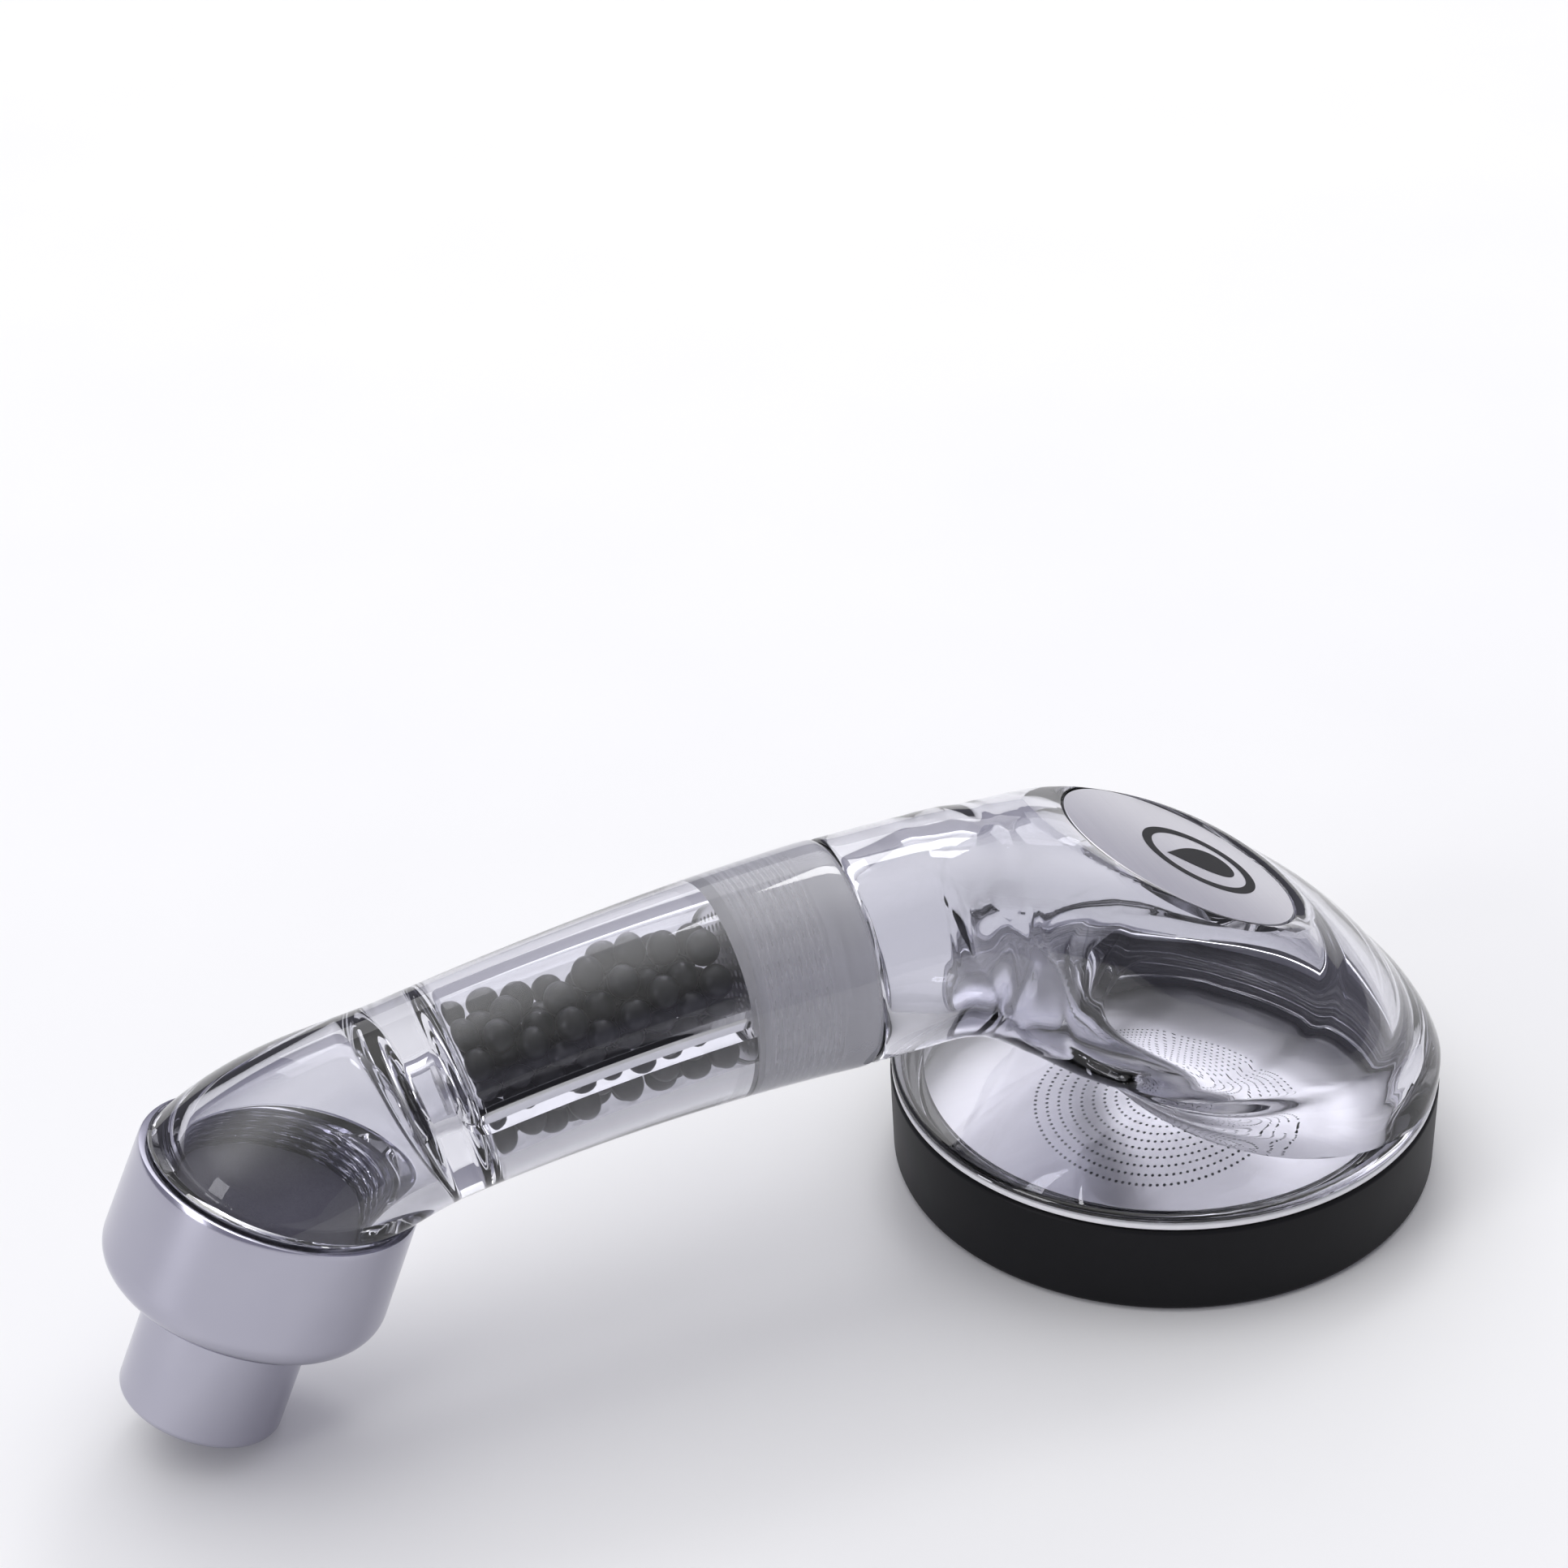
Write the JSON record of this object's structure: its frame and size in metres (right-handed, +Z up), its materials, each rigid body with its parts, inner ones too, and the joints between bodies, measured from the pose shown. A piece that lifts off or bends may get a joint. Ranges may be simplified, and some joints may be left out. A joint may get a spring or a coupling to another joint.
{
  "type": "handheld shower head",
  "caption": "Handheld shower head with a clear, bead-filled filter handle, a round perforated steel spray plate, and a chrome swivel hose socket.",
  "frame": {"origin": "on the surface that the spray face rests on, under the middle of the object's length and width", "axes": "+X from the hose end to the head, +Y to the side, +Z up with the spray face down"},
  "size_m": [0.2117, 0.086, 0.0699],
  "materials": {
    "clear_plastic": "clear polished moulding",
    "black_plastic": "satin moulded",
    "white_rubber": "smooth white silicone",
    "black_rubber": "smooth",
    "stainless": "satin stainless sheet",
    "chrome": "satin chrome plating",
    "green_plastic": "moulded",
    "charcoal": "dull mineral balls",
    "filter_felt": "pressed felt",
    "white_plastic": "moulded"
  },
  "bodies": {
    "handle": {"handle_body": "clear_plastic", "bead_bed": "charcoal", "inlet_screen": "stainless", "outlet_screen": "stainless", "screen_frame": "green_plastic"},
    "neck_seal": {"neck_o_ring": "white_rubber"},
    "head": {"head_shell": "clear_plastic", "badge_plate": "stainless", "badge_adhesive": "white_rubber", "rim_seal": "white_rubber"},
    "plate_pack": {"spray_plate": "stainless", "plate_gasket": "black_rubber"},
    "spray_ring": {"face_ring": "black_plastic"},
    "cup_pack": {"cup_seal": "black_rubber", "filter_carrier": "white_plastic", "filter_disc": "filter_felt"},
    "cup": {"tail_cup": "chrome", "swivel_washer": "white_plastic", "swivel_o_ring_upper": "black_rubber", "swivel_o_ring_lower": "black_rubber"},
    "hose_swivel": {"swivel_socket": "chrome", "swivel_clip": "stainless", "flow_restrictor": "white_plastic", "hose_washer": "black_rubber"}
  },
  "joints": [
    {"name": "neck_travel", "type": "slide", "parent": "handle", "child": "neck_seal", "axis": [1, 0, 0], "range_m": [0, 0.0112]},
    {"name": "neck_unscrew", "type": "hinge", "parent": "neck_seal", "child": "head", "pos_m": [0.0084, 0, 0.0527], "axis": [1, 0, 0], "range_deg": [0, 1260]},
    {"name": "ring_travel", "type": "slide", "parent": "head", "child": "plate_pack", "axis": [0, 0, -1], "range_m": [0, 0.005]},
    {"name": "ring_unscrew", "type": "hinge", "parent": "plate_pack", "child": "spray_ring", "pos_m": [0.0628, 0, 0.0153], "axis": [0, 0, -1], "range_deg": [0, 450]},
    {"name": "cup_travel", "type": "slide", "parent": "handle", "child": "cup_pack", "axis": [-0.4115, 0, -0.9114], "range_m": [0, 0.0084]},
    {"name": "cup_unscrew", "type": "hinge", "parent": "cup_pack", "child": "cup", "pos_m": [-0.0786, 0, 0.0414], "axis": [-0.4115, 0, -0.9114], "range_deg": [0, 1080]},
    {"name": "hose_swivel_turn", "type": "hinge", "parent": "cup", "child": "hose_swivel", "pos_m": [-0.0786, 0, 0.0414], "axis": [-0.4115, 0, -0.9114], "continuous": true}
  ],
  "couplings": [
    {"joint": "neck_unscrew", "follows": "neck_travel", "rad_per_m": 1963.5},
    {"joint": "ring_unscrew", "follows": "ring_travel", "rad_per_m": 1570.8},
    {"joint": "cup_unscrew", "follows": "cup_travel", "rad_per_m": 2244}
  ]
}
